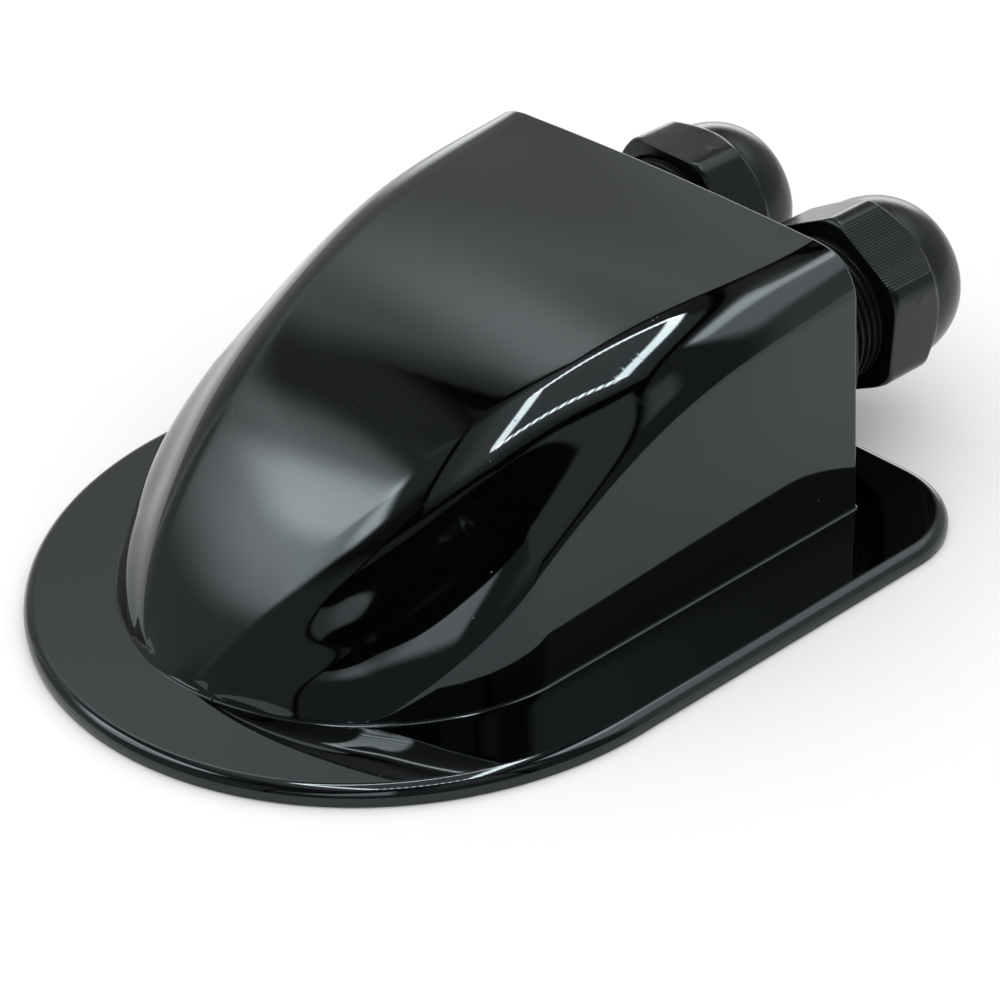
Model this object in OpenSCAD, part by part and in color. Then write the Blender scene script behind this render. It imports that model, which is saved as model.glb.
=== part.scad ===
/* [Flange] */
// Width of the mounting flange
flange_w = 120; // [110:1:130]
// Length of the mounting flange, from the nose to the rear edge
flange_len = 140; // [136:1:150]
// Thickness of the flange
flange_t = 3.2; // [2.8:0.1:4]
// Radius of the flange's rear corners
flange_corner_r = 17.5; // [10:0.5:25]
// Radius of the rolled upper edge of the flange
flange_edge_r = 2.2; // [1:0.1:2.4]

/* [Hood] */
// Width of the hood where it leaves the flange
hood_w = 88.8; // [86:0.2:92]
// Length of the hood, from its back wall to its nose
hood_len = 109.2; // [106:0.2:112]
// Height of the hood at its back wall, above the roof
hood_h = 50.2; // [48:0.2:53]
// Distance from the flange's rear edge to the hood's back wall
back_inset = 15.8; // [14:0.2:18]
// Length of the hood's nose curve
nose_len = 41; // [38:0.5:44]
// Thickness of the moulded wall
wall_t = 2.8; // [2.2:0.1:3.2]
// Draft of the side walls, in degrees
wall_draft = 1.8; // [1:0.1:2.5]
// Further lean of the side walls towards the nose, in degrees
wall_lean = 6.3; // [5:0.1:7]
// Height of the flat side wall at the back, above the flange
wall_h = 38.5; // [37:0.1:39.2]
// Distance along the foot at which the wall's top bends down
wall_bend = 36.2; // [33:0.1:38]
// Fall of the wall's top past the bend, per length of foot
wall_fall = 0.63; // [0.56:0.01:0.66]
// Upright lip left of the side wall where the nose meets the flange
wall_lip = 0.4; // [0.2:0.1:0.8]
// Rise of the top panel at its middle
crown_h = 0.6; // [0.2:0.1:1]
// Steepness of the sides beside the nose, as a share of the full form
side_steep = 1; // [0.7:0.05:1.1]

/* [Cable glands] */
// Distance between the two glands
gland_pitch = 41; // [39:0.2:42]
// Height of the glands' axes above the roof
gland_z = 24.7; // [23:0.1:26]
// Radius of the thread through the back wall
wall_thread_r = 12.4; // [12:0.1:12.5]
// Radius of the thread that carries the dome nut
cap_thread_r = 13; // [12.8:0.1:13.2]
// Width across the flats of the gland body
body_af = 30; // [29:0.2:31]
// Thickness of the gland body's hexagon
body_hex_t = 7.2; // [6:0.2:7.6]
// Thickness of the sealing washer
washer_t = 2; // [1.5:0.1:2.2]
// Width across the flats of the dome nut
nut_af = 30.4; // [30:0.1:31]
// Length of the dome nut's hexagon
nut_hex_len = 11.7; // [11.5:0.1:12]
// Length of the dome nut's dome
dome_len = 10.1; // [10:0.1:10.5]
// Gap between the left gland body and its dome nut, as photographed
left_gap = 10; // [8:0.1:10.2]
// Gap between the right gland body and its dome nut, as photographed
right_gap = 8.2; // [6:0.1:10.2]
// Radius of the cable passage in the sealing bush
cable_r = 7.5; // [6.5:0.1:7.8]

// Turn of the left gland's body, in degrees
left_body_turn = 0; // [-30:1:30]
// Turn of the right gland's body, in degrees
right_body_turn = -6; // [-30:1:30]
// Turn of the left dome nut, in degrees
left_nut_turn = 31; // [-60:1:60]
// Turn of the right dome nut, in degrees
right_nut_turn = -56; // [-60:1:60]

/* [Hidden] */

shell_colour = [0.02, 0.02, 0.022];
gland_colour = [0.05, 0.052, 0.055];
rubber_colour = [0.09, 0.09, 0.09];

// Places along the object: the origin is under the middle of its whole length
hex_top = washer_t + body_hex_t;
nut_len = nut_hex_len + dome_len;
gland_reach = hex_top + left_gap + nut_len;
overhang = gland_reach - back_inset;
rear_y = (flange_len - overhang) / 2;
wall_y = rear_y - back_inset;
flange_r = flange_w / 2;

// Hood: a grid of points, rows from the back wall to the nose, each row from
// the right foot over the top to the left foot. Points are [across, forward, up].
// Steps along the hood, over a shoulder and across half of the top panel
rows = 40;
slope_steps = 11;
panel_steps = 4;
base_z = flange_t;
half_w = hood_w / 2;
straight_len = hood_len - nose_len;
nose_arc = 67.2;
foot_end = 124;
crest_end_w = 4.8;
bend_softness = 10.3;
ease_out = 1.6;
// Where along the hood, and over what length, the wall leans over, the shoulder's
// broad roll turns into a steep side, and the side opens out to the nose
lean_from = 12;
lean_over = 85;
steep_from = -0.04;
steep_over = 0.67;
open_from = 60;
open_over = 45;
// Controls of the shoulder's section, each as [at the back, beside the nose]: how far
// they lie out from the crest, as shares of the section's reach, and how far below it,
// as shares of its drop
lead_out = [0.54, 0.48];
brow_out = [0.84, 0.47];
brow_down = [0.08, 0.58];
cheek_out = [0.88, 0.73];
cheek_down = [0.5, 0.48];
// The last control's height over the wall's top, and both shares where the side opens out
foot_up = [0.29, 0.06];
open_up = 0.45;
open_in = 0.22;
// Controls of the crest, where the top panel turns into the shoulder
crest_controls = [
  [32.4, 0, hood_h - crown_h],
  [31, 31, 45.8],
  [24.5, 48.5, 54.9],
  [19.3, 98.8, 22.7],
  [crest_end_w, hood_len - 0.5, base_z]
];

function bezier(p, t) =
  len(p) == 1 ? p[0] :
  bezier([for (k = [0:len(p) - 2]) p[k] * (1 - t) + p[k + 1] * t], t);
function unit(v) = v / norm(v);
function mix(a, b, t) = a * (1 - t) + b * t;
function between(pair, t) = mix(pair[0], pair[1], t);
function clamp01(t) = min(1, max(0, t));
function smooth(t) = let (c = clamp01(t)) c * c * (3 - 2 * c);

// Foot line of the hood at a distance run along it from the back wall
function foot(run) =
  run <= straight_len ? [half_w, run, base_z] :
  let (turn = 90 * (run - straight_len) / nose_arc)
  [half_w * pow(cos(turn), 1.07), straight_len + nose_len * pow(sin(turn), 1.07), base_z];

function crest(t) = bezier(crest_controls, t);
function crest_slope(t) =
  let (a = crest(t - 0.01), b = crest(t + 0.01)) (b[2] - a[2]) / (b[1] - a[1]);
function foot_run(forward) =
  forward + (foot_end - crest_controls[4][1]) * pow(forward / crest_controls[4][1], 2.5);
// Height of the wall's top along the foot: level at the back, a soft bend, then an
// even fall that eases out just above the flange
function wall_rise(run) =
  let (
    bent = ln(1 + exp((run - wall_bend) / bend_softness)) * bend_softness,
    fallen = wall_h - wall_fall * bent
  )
  wall_lip + (fallen + sqrt(fallen * fallen + ease_out * ease_out)) / 2;
function wall_slope(run) = tan(wall_draft + wall_lean * smooth((run - lean_from) / lean_over));

// Section of the shoulder, from the crest down to the top of the wall
function slope_controls(t) =
  let (
    a = crest(t),
    f = foot(foot_run(a[1])),
    run = foot_run(a[1]),
    rise = wall_rise(run),
    inward = unit([a[0] - f[0], a[1] - f[1] - 0.001, 0]),
    b = f + [0, 0, rise] + inward * rise * wall_slope(run),
    reach = norm([b[0] - a[0], b[1] - a[1]]),
    drop = a[2] - b[2],
    out = -inward,
    steep = side_steep * smooth((t - steep_from) / steep_over),
    open = smooth((run - open_from) / open_over),
    foot_lift = mix(between(foot_up, steep), open_up, open),
    lead = between(lead_out, steep) * reach,
    fall = min(0.5 * drop, max(0, -crest_slope(t) * out[1] * lead))
  )
  [
    a,
    a + out * lead - [0, 0, fall],
    a + out * reach * between(brow_out, steep) - [0, 0, drop * between(brow_down, steep)],
    a + out * reach * between(cheek_out, steep) - [0, 0, drop * between(cheek_down, steep)],
    b + [0, 0, drop * foot_lift] + inward * reach * open_in * open,
    b
  ];

function right_side(t) =
  let (c = slope_controls(t))
  concat(
    [foot(foot_run(crest(t)[1]))],
    [for (k = [slope_steps:-1:1]) bezier(c, k / slope_steps)]
  );
function across_mirror(points) =
  [for (k = [len(points) - 1:-1:0]) [-points[k][0], points[k][1], points[k][2]]];

function row_points(t) =
  let (side = right_side(t), a = crest(t), bulge = 0.5 * pow(t, 6), last = panel_steps)
  concat(
    side,
    [for (k = [last:-1:-last]) let (s = k / last)
      [a[0] * s, a[1] + bulge * (1 - s * s), a[2] + crown_h * (1 - t) * (1 - s * s)]],
    across_mirror(side)
  );

// The last row lies on the foot line round the tip of the nose
columns = 2 * (1 + slope_steps + panel_steps) + 1;
tip_run = straight_len + nose_arc;
nose_runs = [for (k = [0:columns - 1]) tip_run - (tip_run - foot_end) * abs(1 - 2 * k / (columns - 1))];
nose_row = [for (k = [0:columns - 1]) let (p = foot(nose_runs[k]))
  [sign(columns - 1 - 2 * k) * p[0], p[1], p[2]]];
hood_grid = concat([for (k = [0:rows - 1]) row_points(k / rows)], [nose_row]);

// Inner face: the outer face moved in by the wall, its edge dropped to the underside
function normal_at(g, i, j) =
  let (m = len(g) - 1, n = len(g[0]) - 1)
  unit(cross(g[min(m, i + 1)][j] - g[max(0, i - 1)][j], g[i][min(n, j + 1)] - g[i][max(0, j - 1)]));
function inset_point(g, i, j) =
  let (
    p = g[i][j] - wall_t * normal_at(g, i, j),
    on_floor = i == len(g) - 1 || j == 0 || j == len(g[0]) - 1
  )
  [p[0], i == 0 ? wall_t : p[1], on_floor ? 0 : p[2]];
inner_grid = [for (i = [0:rows]) [for (j = [0:columns - 1]) inset_point(hood_grid, i, j)]];

// Outline of the flange, drawn in by an inset. Its points face those of the hood's
// foot line from the right rear corner round the nose to the left rear corner, and
// then run round the rear.
nose_y = rear_y - flange_len + flange_r;
corner_y = rear_y - flange_corner_r;
corner_x = flange_r - flange_corner_r;
corner_steps = 10;
roll_steps = 4;
side_runs = [for (k = [0:rows - 1]) foot_run(crest(k / rows)[1])];

function outline_point(run, side, r) =
  run <= straight_len ? [side * r, mix(corner_y, nose_y, run / straight_len)] :
  let (turn = 90 * (run - straight_len) / nose_arc) [side * r * cos(turn), nose_y - r * sin(turn)];
function outline(inset, z) =
  let (r = flange_r - inset, rc = flange_corner_r - inset)
  [for (p = concat(
    [for (run = side_runs) outline_point(run, 1, r)],
    [for (k = [0:columns - 1]) outline_point(nose_runs[k], sign(columns - 1 - 2 * k), r)],
    [for (k = [rows - 1:-1:0]) outline_point(side_runs[k], -1, r)],
    [for (k = [1:corner_steps]) let (turn = 180 - 90 * k / corner_steps)
      [rc * cos(turn) - corner_x, rc * sin(turn) + corner_y]],
    [for (k = [corner_steps:-1:1]) let (turn = 90 * k / corner_steps)
      [rc * cos(turn) + corner_x, rc * sin(turn) + corner_y]]
  )) [p[0], p[1], z]];

// Index of the k-th point along the foot line of a grid
rim_count = 2 * rows + columns;
function rim_index(k) =
  k <= rows ? k * columns :
  k <= rows + columns - 1 ? rows * columns + k - rows :
  (rim_count - 1 - k) * columns + columns - 1;
function quad(a, b, c, d) = [[a, b, c], [a, c, d]];
function backwards(list) = [for (k = [len(list) - 1:-1:0]) list[k]];

// Faces of a grid and of the flat back wall that its first row frames
function grid_faces(start) =
  let (n = columns, mid = (n - 1) / 2)
  concat(
    [for (i = [0:rows - 1], j = [0:n - 2]) let (a = start + i * n + j)
      each quad(a, a + n, a + n + 1, a + 1)],
    [for (j = [0:mid - 2]) let (a = start + j, b = start + n - 1 - j)
      each quad(a, a + 1, b - 1, b)],
    [[start + mid - 1, start + mid, start + mid + 1]]
  );

// Flat faces between the foot line of a grid and an outline
outline_count = rim_count + 2 * corner_steps;
function apron_faces(start, ring) =
  let (
    right = start,
    left = start + rim_index(rim_count - 1),
    last = rim_count - 1,
    rear = last + corner_steps
  )
  concat(
    [for (k = [0:last - 1])
      each quad(start + rim_index(k), ring + k, ring + k + 1, start + rim_index(k + 1))],
    [for (k = [last:rear - 1]) [left, ring + k, ring + k + 1]],
    [[left, ring + rear, right]],
    [for (k = [rear:outline_count - 1]) [right, ring + k, ring + (k + 1) % outline_count]]
  );

function to_frame(grid) = [for (row = grid) each [for (p = row) [p[0], wall_y - p[1], p[2]]]];

module moulding() {
  rings = concat(
    [for (k = [0:roll_steps]) let (turn = 90 * k / roll_steps)
      outline(flange_edge_r * (1 - sin(turn)), flange_t - flange_edge_r * (1 - cos(turn)))],
    [outline(0, 0)]
  );
  q = outline_count;
  first_ring = (rows + 1) * columns;
  first_inner = first_ring + len(rings) * q;
  last_ring = first_inner - q;
  sides = [for (k = [0:len(rings) - 2], s = [0:q - 1])
    let (a = first_ring + k * q + s, b = first_ring + k * q + (s + 1) % q)
    each quad(a, a + q, b + q, b)];
  polyhedron(
    concat(to_frame(hood_grid), [for (ring = rings) each ring], to_frame(inner_grid)),
    concat(
      grid_faces(0),
      apron_faces(0, first_ring),
      sides,
      [for (f = apron_faces(first_inner, last_ring)) backwards(f)],
      [for (f = grid_faces(first_inner)) backwards(f)]
    ),
    convexity = 8
  );
}

module housing() {
  color(shell_colour) difference() {
    moulding();
    for (side = [-1, 1]) translate([side * gland_pitch / 2, wall_y + 1, gland_z])
      rotate([90, 0, 0]) cylinder(r = wall_thread_r + 0.2, h = wall_t + 2, $fn = 96);
  }
}

// Gland pieces are drawn along +Z, outwards. The body, its washer and the lock nut
// start from the outer face of the back wall, and the rest from the dome nut's face.
bore_r = 9.6;
socket_r = 11.6;
socket_floor = hex_top + 0.6;
tail_len = 13;
cap_thread_len = 14.5;
run_gap = 0.05;
cage_gap = 0.3;
nut_bore_len = 12.2;
nut_cone_end = nut_len - 1.6;
mouth_r = cable_r + 1.1;
lip_r = 9.6;
cone_r = cable_r + 2.6;
cage_foot = -0.4;
cage_shoulder = nut_bore_len - 0.1;
cage_tip = nut_cone_end - 1.2;
cage_wall = 1.6;
slot_count = 8;
slot_w = 1.2;
lock_nut_t = 5;
lock_nut_af = 32;
rib_count = 26;
rib_depth = 0.2;

module at_gland(side) {
  translate([side * gland_pitch / 2, wall_y, gland_z]) rotate([-90, 0, 0]) children();
}

module at_nut(side) {
  gap = side < 0 ? left_gap : right_gap;
  at_gland(side) translate([0, 0, hex_top + gap]) children();
}

// Hexagonal prism with its corners turned down at both ends
module turned_hexagon(af, length, cut) {
  corner_r = af / 2 + 1.7;
  intersection() {
    linear_extrude(length) circle(d = af / cos(30), $fn = 6);
    rotate_extrude($fn = 96) polygon([
      [0, 0], [corner_r - cut, 0], [corner_r, cut],
      [corner_r, length - cut], [corner_r - cut, length], [0, length]
    ]);
  }
}

// Washer that seals the gland body to the back wall
module sealing_washer() {
  color(rubber_colour) difference() {
    cylinder(r = body_af / 2 - 0.4, h = washer_t, $fn = 96);
    translate([0, 0, -1]) cylinder(r = wall_thread_r + 0.1, h = washer_t + 2, $fn = 96);
  }
}

// Gland body: a hexagon between two threaded ends, bored through for the cable,
// with a socket in its outer end for the clamping cage
module gland_body(turn) {
  color(gland_colour) difference() {
    union() {
      translate([0, 0, -tail_len])
        cylinder(r = wall_thread_r, h = tail_len + hex_top - 1, $fn = 96);
      translate([0, 0, washer_t]) rotate([0, 0, turn]) turned_hexagon(body_af, body_hex_t, 1);
      translate([0, 0, hex_top - 1])
        cylinder(r = cap_thread_r, h = cap_thread_len + 1, $fn = 96);
    }
    translate([0, 0, -tail_len - 1]) cylinder(r = bore_r, h = gland_reach + tail_len, $fn = 96);
    translate([0, 0, socket_floor]) cylinder(r = socket_r, h = gland_reach, $fn = 96);
  }
}

// Nut that holds the gland from inside the hood, with a bearing collar
module lock_nut(turn) {
  collar_t = 1;
  color(gland_colour) translate([0, 0, -wall_t - lock_nut_t]) difference() {
    union() {
      rotate([0, 0, turn]) turned_hexagon(lock_nut_af, lock_nut_t - collar_t, 0.8);
      cylinder(r = lock_nut_af / 2 - 0.5, h = lock_nut_t, $fn = 96);
    }
    translate([0, 0, -1]) cylinder(r = wall_thread_r + run_gap, h = lock_nut_t + 2, $fn = 96);
  }
}

// Clamping cage: a ring that slides in the body's socket, with tapered fingers
// that the dome nut closes on the sealing bush
module clamping_cage() {
  tip_r = cone_r - cage_gap;
  color(gland_colour) difference() {
    rotate_extrude($fn = 96) polygon([
      [socket_r - run_gap - cage_wall, cage_foot], [socket_r - run_gap, cage_foot],
      [socket_r - run_gap, cage_shoulder], [tip_r, cage_tip], [tip_r - cage_wall + 0.3, cage_tip],
      [socket_r - run_gap - cage_wall, cage_shoulder]
    ]);
    for (k = [0:slot_count / 2 - 1]) rotate([0, 0, 180 * k / (slot_count / 2)])
      translate([-socket_r - 1, -slot_w / 2, cage_foot + 6])
        cube([2 * socket_r + 2, slot_w, nut_len]);
  }
}

// Sealing bush inside the cage
module sealing_bush() {
  tip_r = cone_r - cage_gap - cage_wall + 0.3;
  outer_r = socket_r - run_gap - cage_wall;
  color(rubber_colour) rotate_extrude($fn = 96) polygon([
    [cable_r, cage_foot + 1], [outer_r, cage_foot + 1], [outer_r, cage_shoulder],
    [tip_r, cage_tip], [cable_r, cage_tip]
  ]);
}

// Outline of the dome nut's hexagon: fine ribs on two opposite flats
function nut_flat(k) =
  let (r = nut_af / 2, half = r * tan(30), margin = 1.6)
  k % 3 != 0 ? [[r, -half]] :
  concat(
    [[r, -half], [r, -half + margin]],
    [for (i = [0:rib_count - 1], s = [0, 1])
      let (across = 2 * (half - margin) * (i + (s == 0 ? 0.5 : 1)) / rib_count - half + margin)
      [s == 0 ? r - rib_depth : r, across]]
  );
function turned(p, angle) =
  [p[0] * cos(angle) - p[1] * sin(angle), p[0] * sin(angle) + p[1] * cos(angle)];
nut_outline = [for (k = [0:5]) each [for (p = nut_flat(k)) turned(p, 60 * k)]];

// Dome nut: ribbed hexagon, rounded dome with the cable's mouth, threaded bore and
// the cone that closes the clamping cage
module dome_nut(turn) {
  corner_r = nut_af / 2 + 1.7;
  dome_steps = 14;
  flare = nut_af / 2 - lip_r;
  color(gland_colour) difference() {
    intersection() {
      rotate([0, 0, turn]) linear_extrude(nut_len) polygon(nut_outline);
      rotate_extrude($fn = 96) polygon(concat(
        [[0, 0], [corner_r - 0.6, 0], [corner_r, 0.8], [corner_r, nut_hex_len - 1.8]],
        [for (k = [0:dome_steps]) let (rise = 90 * k / dome_steps)
          [lip_r + flare * cos(rise), nut_hex_len + dome_len * sin(rise)]],
        [[0, nut_len]]
      ));
    }
    rotate_extrude($fn = 96) polygon([
      [0, -1], [cap_thread_r + run_gap, -1], [cap_thread_r + run_gap, nut_bore_len],
      [cone_r, nut_cone_end], [mouth_r, nut_cone_end], [mouth_r, nut_len + 1], [0, nut_len + 1]
    ]);
  }
}

housing();
at_gland(-1) sealing_washer();  // left_sealing_washer
at_gland(1) sealing_washer();  // right_sealing_washer
at_gland(-1) gland_body(left_body_turn);  // left_gland_body
at_gland(1) gland_body(right_body_turn);  // right_gland_body
at_gland(-1) lock_nut(left_body_turn);  // left_lock_nut
at_gland(1) lock_nut(right_body_turn);  // right_lock_nut
at_nut(-1) clamping_cage();  // left_clamping_cage
at_nut(1) clamping_cage();  // right_clamping_cage
at_nut(-1) sealing_bush();  // left_sealing_bush
at_nut(1) sealing_bush();  // right_sealing_bush
at_nut(-1) dome_nut(left_nut_turn);  // left_dome_nut
at_nut(1) dome_nut(right_nut_turn);  // right_dome_nut
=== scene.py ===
"""Dresses the roof cable entry: a smooth moulded hood, threaded glands, ribbed nuts and a studio."""

import math
from types import SimpleNamespace

import bpy
import numpy as np
from bpy.props import FloatProperty, FloatVectorProperty, IntProperty, PointerProperty
from mathutils import Matrix, Vector
from mathutils.geometry import delaunay_2d_cdt


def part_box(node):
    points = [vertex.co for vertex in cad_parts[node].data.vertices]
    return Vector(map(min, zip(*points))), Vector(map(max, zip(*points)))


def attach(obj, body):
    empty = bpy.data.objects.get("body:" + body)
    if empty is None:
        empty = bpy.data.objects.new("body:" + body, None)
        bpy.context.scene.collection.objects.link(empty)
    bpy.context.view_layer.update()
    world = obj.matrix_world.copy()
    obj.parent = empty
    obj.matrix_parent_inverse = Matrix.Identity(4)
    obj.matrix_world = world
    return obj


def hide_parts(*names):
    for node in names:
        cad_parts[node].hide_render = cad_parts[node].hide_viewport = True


bl_info = {
    "name": "Roof Cable Entry",
    "version": (1, 0, 0),
    "blender": (4, 5, 0),
    "location": "3D View > Sidebar > Cable Entry",
    "description": "Builds the hood, glands, nuts and studio of a moulded roof cable entry",
    "category": "Add Mesh",
}

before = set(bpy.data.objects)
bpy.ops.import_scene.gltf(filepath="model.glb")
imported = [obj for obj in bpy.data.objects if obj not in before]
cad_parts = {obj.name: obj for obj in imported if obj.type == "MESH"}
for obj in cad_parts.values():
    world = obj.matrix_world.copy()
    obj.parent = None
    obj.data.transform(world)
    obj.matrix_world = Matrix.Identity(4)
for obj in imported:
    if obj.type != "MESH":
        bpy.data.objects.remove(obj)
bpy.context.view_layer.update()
MM = 1000.0
SIDES = ("left", "right")
UP = np.array([0.0, 0.0, 1.0])
# The way the back wall faces, in the frame
BACK = np.array([0.0, 1.0, 0.0])
# Turns a normal [across, forward, up] into the frame, where forward is -Y
TO_FRAME = np.array([1.0, -1.0, 1.0])
# Tint of the black pieces' reflections, a little blue-green
COOL_SHEEN = (0.82, 0.96, 1.0, 1.0)
# The camera's target in metres: across, and along Y from the flange's rear edge
AIM = (-0.011235, -0.060809)


def length(name, description, size):
    """A size property, stated in millimetres and kept in metres."""
    return FloatProperty(
        name=name,
        description=description,
        default=size / MM,
        min=0.0,
        subtype="DISTANCE",
        unit="LENGTH",
        precision=4,
    )


def colour(name, description, value):
    """A colour property."""
    return FloatVectorProperty(
        name=name, description=description, default=value, size=3, min=0.0, max=1.0, subtype="COLOR"
    )


class HoodSizes(bpy.types.PropertyGroup):
    """Sizes of the moulded hood and its flange."""

    flange_w: length("Flange width", "Width of the bonding flange", 120)
    flange_len: length("Flange length", "Length of the flange from nose to rear edge", 140)
    flange_t: length("Flange thickness", "Thickness of the flange", 3.2)
    flange_corner_r: length("Flange corner", "Radius of the flange's rear corners", 17.5)
    flange_edge_r: length("Flange edge", "Radius of the flange's rolled upper edge", 2.2)
    flange_foot_r: length("Flange lower edge", "Radius of the flange's lower edge", 0.35)
    hood_w: length("Hood width", "Width of the hood at its foot", 88.8)
    hood_len: length("Hood length", "Length from the back wall to the nose", 109.2)
    hood_h: length("Hood height", "Height of the back wall above the roof", 50.2)
    back_inset: length("Back inset", "From the flange's rear edge to the back wall", 15.8)
    nose_len: length("Nose length", "Length of the nose curve", 41)
    wall_t: length("Wall thickness", "Thickness of the moulded wall", 2.8)
    wall_h: length("Side wall height", "Height of the side wall at the back", 38.5)
    wall_lip: length("Wall lip", "Upright lip where the wall has run out", 0.4)
    crown_h: length("Crown", "Rise of the top panel at its middle", 0.6)
    rim_r: length("Rim radius", "Rounding of the rear rim", 0.65)
    foot_r: length("Foot radius", "Fillet between the hood and its flange", 0.5)


class GlandSizes(bpy.types.PropertyGroup):
    """Sizes of the cable glands."""

    body_af: length("Body hexagon", "Width across the flats of the gland body", 30)
    body_hex_t: length("Body hexagon thickness", "Thickness of the gland body's hexagon", 7.2)
    washer_t: length("Washer thickness", "Thickness of the sealing washer", 2)
    nut_af: length("Nut hexagon", "Width across the flats of the dome nut", 30.4)
    nut_hex_len: length("Nut hexagon length", "Length of the dome nut's flats", 11.7)
    dome_len: length("Dome length", "Length of the dome nut's dome", 10.1)
    thread_pitch: length("Thread pitch", "Travel of the dome nut in one turn", 1.5)
    thread_depth: length("Thread depth", "Depth of the gland threads", 0.75)
    rib_depth: length("Rib depth", "Depth of the grooves between the ribs", 0.2)
    rib_count: IntProperty(name="Ribs", description="Grooves on each ribbed flat", default=26, min=4)


class Finishes(bpy.types.PropertyGroup):
    """Colours of the mouldings and of the studio."""

    hood: colour("Hood", "Glossy moulded plastic", (0.0005, 0.0006, 0.0007))
    nylon: colour("Nylon", "Satin moulded nylon", (0.0022, 0.0024, 0.0026))
    rubber: colour("Rubber", "Matt sealing rubber", (0.006, 0.006, 0.006))
    table: colour("Table", "The pale table top", (0.88, 0.88, 0.88))


class StudioSizes(bpy.types.PropertyGroup):
    """The camera and the lights."""

    lens: FloatProperty(name="Lens", description="Focal length in millimetres", default=94.81, min=10)
    azimuth: FloatProperty(name="Azimuth", description="Camera's angle round the object", default=52.24)
    elevation: FloatProperty(name="Elevation", description="Camera's angle above the table", default=33.29)
    roll: FloatProperty(name="Roll", description="Camera's roll", default=-4.185)
    distance: length("Distance", "From the camera to its target", 451.05)
    shift: FloatProperty(name="Shift", description="Sideways shift of the picture", default=0.0657)
    tent_turn: FloatProperty(name="Tent turn", description="The tent's turn from the camera", default=8)


def millimetres(group):
    """A group's lengths in millimetres, and its whole numbers as they are, by name."""
    held = {name: getattr(group, name) for name in type(group).__annotations__}
    return SimpleNamespace(**{name: v * MM if isinstance(v, float) else v for name, v in held.items()})


# Surfaces


def angles(start, end, count):
    """Evenly spaced angles from start to end, stated in degrees."""
    return np.radians(np.linspace(start, end, count))


def smooth(t):
    """3 t^2 - 2 t^3, with t held between 0 and 1."""
    c = np.clip(t, 0, 1)
    return c * c * (3 - 2 * c)


def mix(a, b, t):
    """a (1 - t) + b t."""
    return a * (1 - t) + b * t


def soft_min(a, b, k):
    """The smaller of a and b, rounded over where they cross: (a + b - sqrt((a - b)^2 + k^2)) / 2."""
    return (a + b - np.sqrt((a - b) ** 2 + k * k)) / 2


def bezier(controls, t):
    """Repeated mixing of neighbouring controls by t, down to one point."""
    c = [np.asarray(k, float) for k in controls]
    t = np.asarray(t, float)[..., None]
    while len(c) > 1:
        c = [a * (1 - t) + b * t for a, b in zip(c[:-1], c[1:])]
    return c[0]


def unit(v):
    """Each vector divided by its length."""
    return v / np.maximum(np.linalg.norm(v, axis=-1, keepdims=True), 1e-12)


class Skin:
    """Points, outward normals and faces of one closed surface, gathered patch by patch."""

    def __init__(self):
        self.points = []
        self.normals = []
        self.faces = []
        self.count = 0

    def add(self, points, normals):
        """Takes points and their normals, and gives their numbers in the same layout."""
        shape = points.shape[:-1]
        flat = points.reshape(-1, 3)
        self.points.append(flat)
        self.normals.append(np.broadcast_to(normals, points.shape).reshape(-1, 3))
        ids = np.arange(self.count, self.count + len(flat)).reshape(shape)
        self.count += len(flat)
        return ids

    def grid(self, ids, close_rows=False, close_columns=False):
        """Four-cornered faces between neighbouring rows and columns of point numbers."""
        if close_rows:
            ids = np.concatenate([ids, ids[:1]], 0)
        if close_columns:
            ids = np.concatenate([ids, ids[:, :1]], 1)
        quads = np.stack([ids[:-1, :-1], ids[1:, :-1], ids[1:, 1:], ids[:-1, 1:]], -1)
        self.faces.extend(quads.reshape(-1, 4).tolist())

    def fill(self, outer, holes, across, up):
        """Flat triangles inside a closed loop and outside its holes, in the plane of two axes."""
        loops = [list(outer)] + [list(h) for h in holes]
        ids = [i for loop in loops for i in loop]
        flat = np.concatenate(self.points)[ids][:, [across, up]]
        edges, rings = [], []
        for loop in loops:
            start, n = len(edges), len(loop)
            edges += [(start + k, start + (k + 1) % n) for k in range(n)]
            rings.append(flat[start : start + n])
        corners = [Vector(p) for p in flat.tolist()]
        kept, _, faces, origin, _, _ = delaunay_2d_cdt(corners, edges, [], 1, 1e-6, True)
        middles = np.array([sum((kept[k] for k in f), Vector((0, 0))) / len(f) for f in faces])
        wanted = inside(middles, rings[0])
        for ring in rings[1:]:
            wanted &= ~inside(middles, ring)
        number = [ids[o[0]] if o else None for o in origin]
        self.faces += [[number[k] for k in face] for face, held in zip(faces, wanted) if held]


def inside(points, loop):
    """Whether each flat point lies inside a closed loop, by counting the edges to its right."""
    a, b = loop, np.roll(loop, -1, 0)
    x, y = points[:, :1], points[:, 1:]
    crosses = (a[:, 1] > y) != (b[:, 1] > y)
    rise = np.where(b[:, 1] == a[:, 1], 1.0, b[:, 1] - a[:, 1])
    at = a[:, 0] + (y - a[:, 1]) / rise * (b[:, 0] - a[:, 0])
    return (crosses & (x < at)).sum(1) % 2 == 1


def grid_normals(grid):
    """Cross product of the differences along the rows and the columns of a grid."""
    return unit(np.cross(np.gradient(grid, axis=0), np.gradient(grid, axis=1)))


def link_mesh(name, points, faces, material):
    """An object at the origin, made of points in millimetres and faces, with one material."""
    mesh = bpy.data.meshes.new(name)
    mesh.from_pydata((points / MM).tolist(), [], faces)
    mesh.update()
    mesh.materials.append(material)
    piece = bpy.data.objects.new(name, mesh)
    bpy.context.scene.collection.objects.link(piece)
    return piece


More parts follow.
